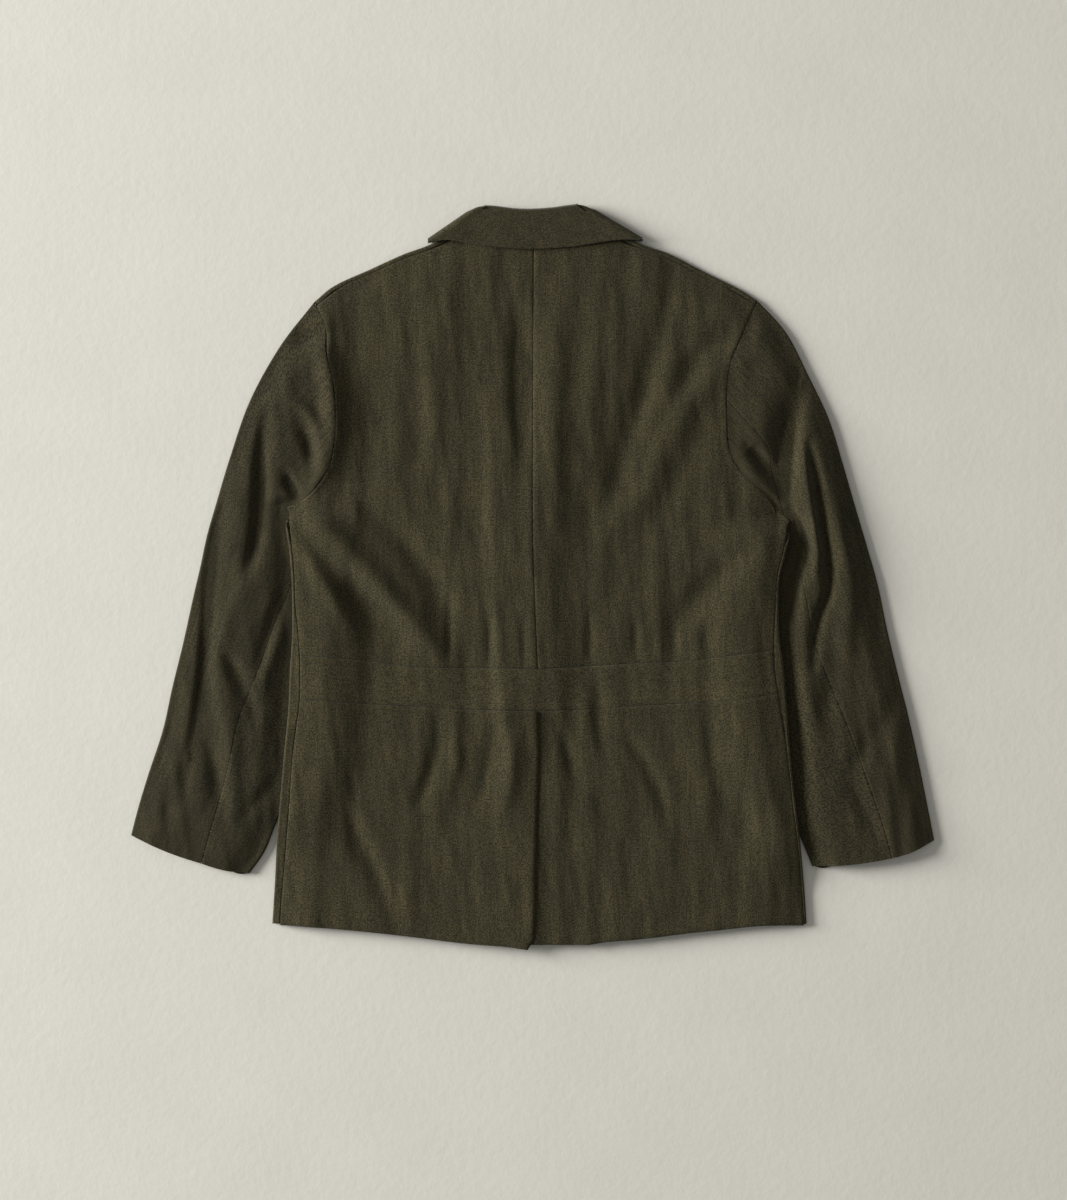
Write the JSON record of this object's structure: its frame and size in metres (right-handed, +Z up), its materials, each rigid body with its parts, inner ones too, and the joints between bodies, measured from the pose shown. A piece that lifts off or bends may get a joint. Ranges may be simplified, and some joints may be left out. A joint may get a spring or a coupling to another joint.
{
  "type": "field jacket",
  "caption": "Olive-brown wool and linen twill field jacket with a set-in waist band and centre vent, laid face down",
  "frame": {"origin": "The middle of the jacket's outline, on the surface that it lies on", "axes": "+X to the wearer's right, which is the right of the picture of the back, +Y to the collar, +Z up from the surface"},
  "size_m": [0.8826, 0.8182, 0.0126],
  "materials": {
    "twill": "matte",
    "button": "satin"
  },
  "bodies": {
    "root": {"back_upper_left": "twill", "back_upper_right": "twill", "waist_band": "twill", "skirt_left": "twill", "skirt_right": "twill", "front_left": "twill", "front_right": "twill", "sleeve_left_top": "twill", "sleeve_left_under": "twill", "sleeve_right_top": "twill", "sleeve_right_under": "twill", "collar_fall": "twill", "collar_stand": "twill", "button_1": "button", "button_2": "button", "button_3": "button"}
  },
  "joints": []
}
